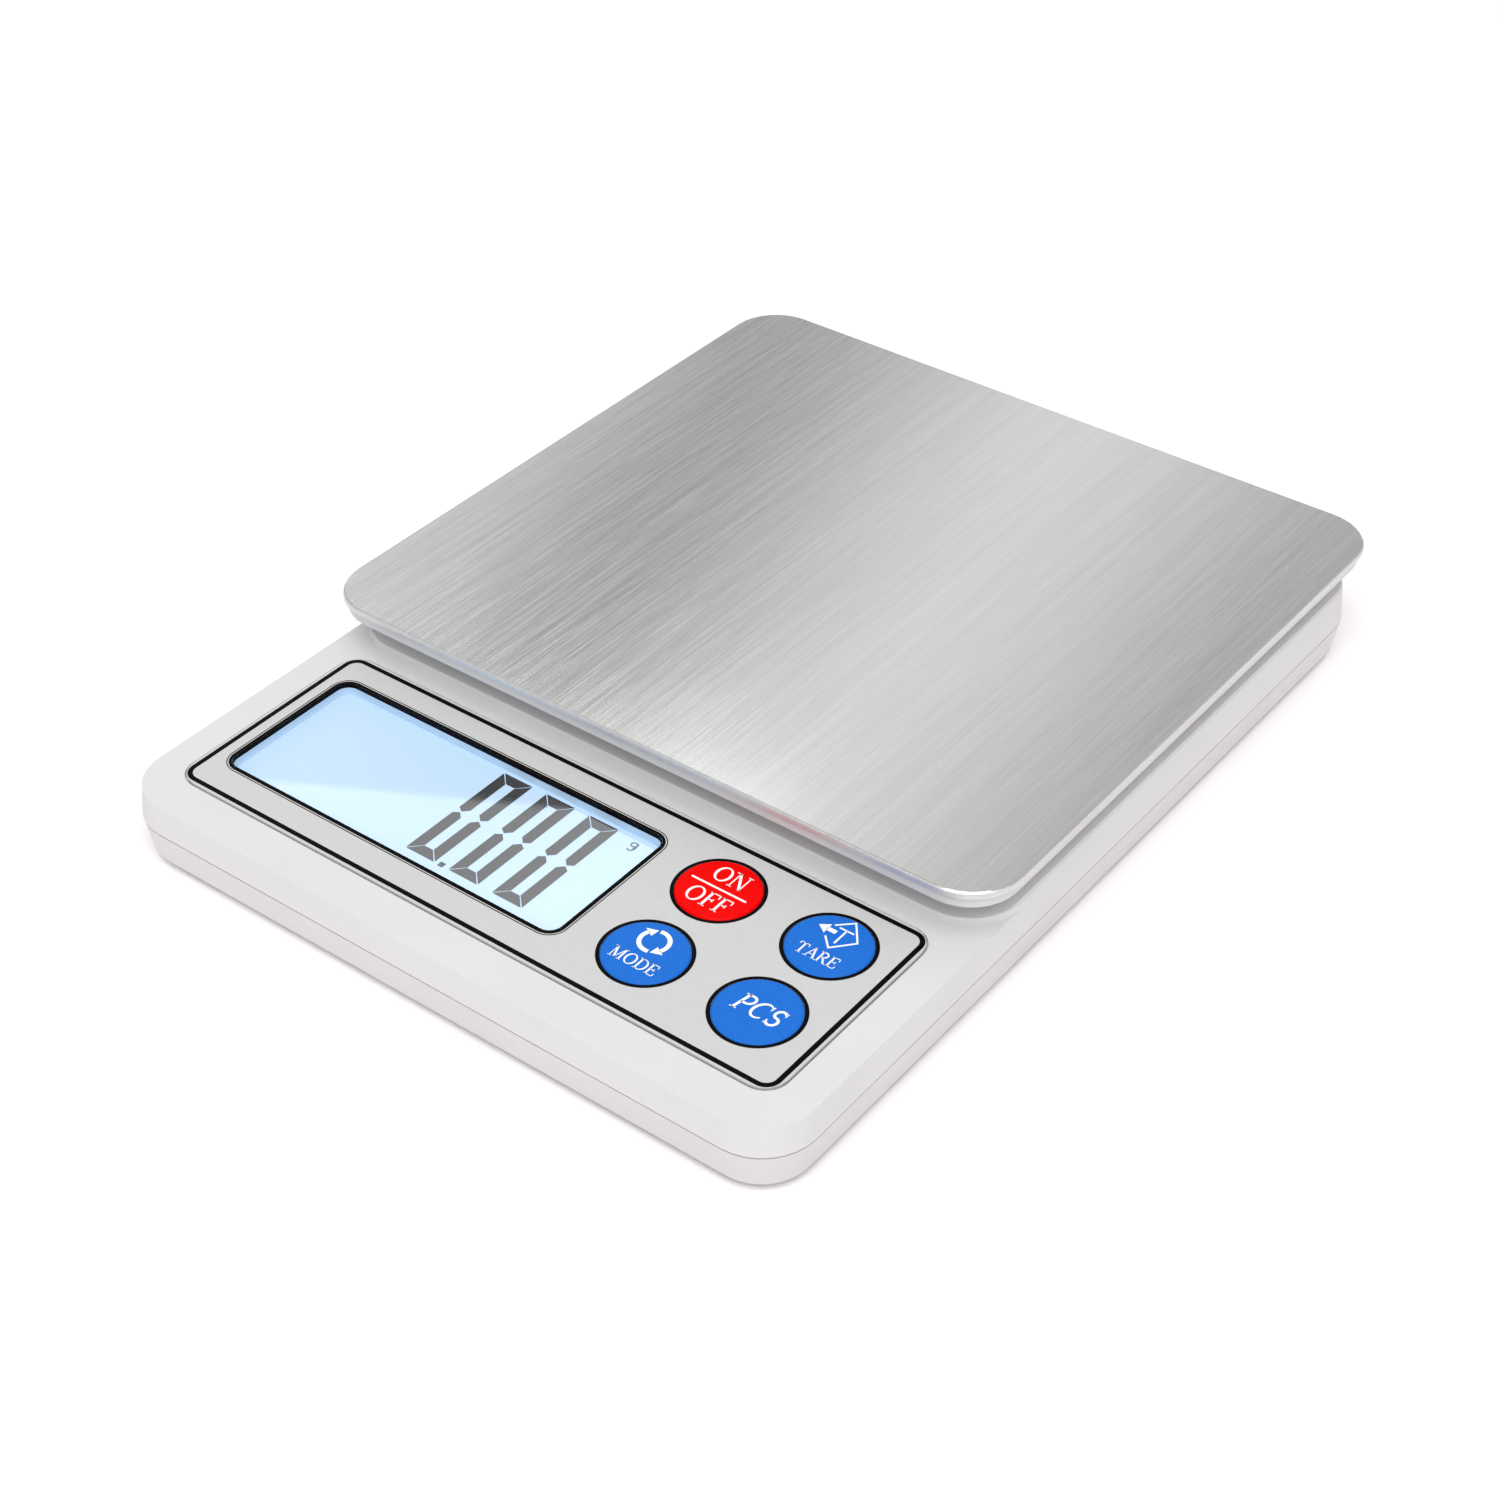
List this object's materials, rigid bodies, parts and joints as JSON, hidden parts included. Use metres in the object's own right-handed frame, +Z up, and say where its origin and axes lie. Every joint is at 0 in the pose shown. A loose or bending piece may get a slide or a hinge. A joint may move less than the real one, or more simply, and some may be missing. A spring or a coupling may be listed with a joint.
{
  "type": "digital gram scale",
  "caption": "Flat white gram scale with a brushed steel weighing plate on a load cell, a blue display and round push buttons in a panel at the front.",
  "frame": {"origin": "centre of the footprint, on the surface the feet stand on", "axes": "+X to the right of the person reading the display, +Y from the display towards the back, +Z up"},
  "size_m": [0.1326, 0.173, 0.0227],
  "materials": {
    "shell_white": "fine satin moulded texture",
    "tray_white": "satin moulded",
    "panel_print": "fine sanded print with thin black border lines",
    "window_clear": "clear and glossy",
    "lcd": "pale blue liquid crystal display",
    "backlight": "milky light guide",
    "strip_rubber": "matte conductive rubber",
    "board_green": "solder mask",
    "chip_black": "moulded epoxy",
    "plug_white": "moulded",
    "key_red": "satin printed key",
    "key_blue": "satin printed key",
    "plunger_black": "moulded",
    "switch_steel": "pressed tinned cover",
    "cell_aluminium": "machined",
    "gauge_silicone": "silicone coating over foil gauges",
    "screw_nickel": "nickel plated",
    "cable_grey": "soft jacket",
    "battery_jacket": "plain wrapped steel can",
    "contact_nickel": "nickel plated spring steel",
    "lead_red": "insulated lead",
    "lead_black": "insulated lead",
    "foot_rubber": "matte soft rubber",
    "brushed_steel": "straight brushed grain from front to back"
  },
  "bodies": {
    "base": {"lower_shell": "shell_white", "upper_shell": "shell_white", "control_panel": "panel_print", "display_window": "window_clear", "lcd_glass": "lcd", "backlight_panel": "backlight", "lcd_connector_strip": "strip_rubber", "circuit_board": "board_green", "controller_chip": "chip_black", "sensor_plug": "plug_white", "load_cell": "cell_aluminium", "load_cell_base_spacer": "cell_aluminium", "strain_gauge_top": "gauge_silicone", "strain_gauge_bottom": "gauge_silicone", "sensor_cable": "cable_grey", "battery_link_plate": "contact_nickel", "battery_contact_plus": "contact_nickel", "battery_contact_minus": "contact_nickel", "battery_lead_plus": "lead_red", "battery_lead_minus": "lead_black", "switch_on_off": "switch_steel", "switch_mode": "switch_steel", "switch_tare": "switch_steel", "switch_count": "switch_steel", "base_screw_1": "screw_nickel", "battery_cell_1": "battery_jacket", "base_screw_2": "screw_nickel", "battery_cell_2": "battery_jacket", "board_screw_1": "screw_nickel", "case_screw_1": "screw_nickel", "foot_1": "foot_rubber", "board_screw_2": "screw_nickel", "case_screw_2": "screw_nickel", "foot_2": "foot_rubber", "board_screw_3": "screw_nickel", "case_screw_3": "screw_nickel", "foot_3": "foot_rubber", "board_screw_4": "screw_nickel", "case_screw_4": "screw_nickel", "foot_4": "foot_rubber"},
    "platform": {"weighing_plate": "brushed_steel", "platform_tray": "tray_white", "load_cell_top_spacer": "cell_aluminium", "top_screw_1": "screw_nickel", "top_screw_2": "screw_nickel"},
    "battery_door": {"battery_door": "shell_white"},
    "key_on_off": {"button_on_off": "key_red", "plunger_on_off": "plunger_black"},
    "key_mode": {"button_mode": "key_blue", "plunger_mode": "plunger_black"},
    "key_tare": {"button_tare": "key_blue", "plunger_tare": "plunger_black"},
    "key_count": {"button_count": "key_blue", "plunger_count": "plunger_black"}
  },
  "joints": [
    {"name": "platform_travel", "type": "slide", "parent": "base", "child": "platform", "axis": [0, 0, -1], "range_m": [0, 0.00025], "stiffness_N_per_m": 23500, "springref_m": -0.0001},
    {"name": "on_off_press", "type": "slide", "parent": "base", "child": "key_on_off", "axis": [0, 0, -1], "range_m": [0, 0.0005], "stiffness_N_per_m": 2500, "springref_m": -0.0002},
    {"name": "mode_press", "type": "slide", "parent": "base", "child": "key_mode", "axis": [0, 0, -1], "range_m": [0, 0.0005], "stiffness_N_per_m": 2500, "springref_m": -0.0002},
    {"name": "tare_press", "type": "slide", "parent": "base", "child": "key_tare", "axis": [0, 0, -1], "range_m": [0, 0.0005], "stiffness_N_per_m": 2500, "springref_m": -0.0002},
    {"name": "count_press", "type": "slide", "parent": "base", "child": "key_count", "axis": [0, 0, -1], "range_m": [0, 0.0005], "stiffness_N_per_m": 2500, "springref_m": -0.0002},
    {"name": "battery_door_slide", "type": "slide", "parent": "base", "child": "battery_door", "axis": [0, 1, 0], "range_m": [0, 0.0305]}
  ]
}
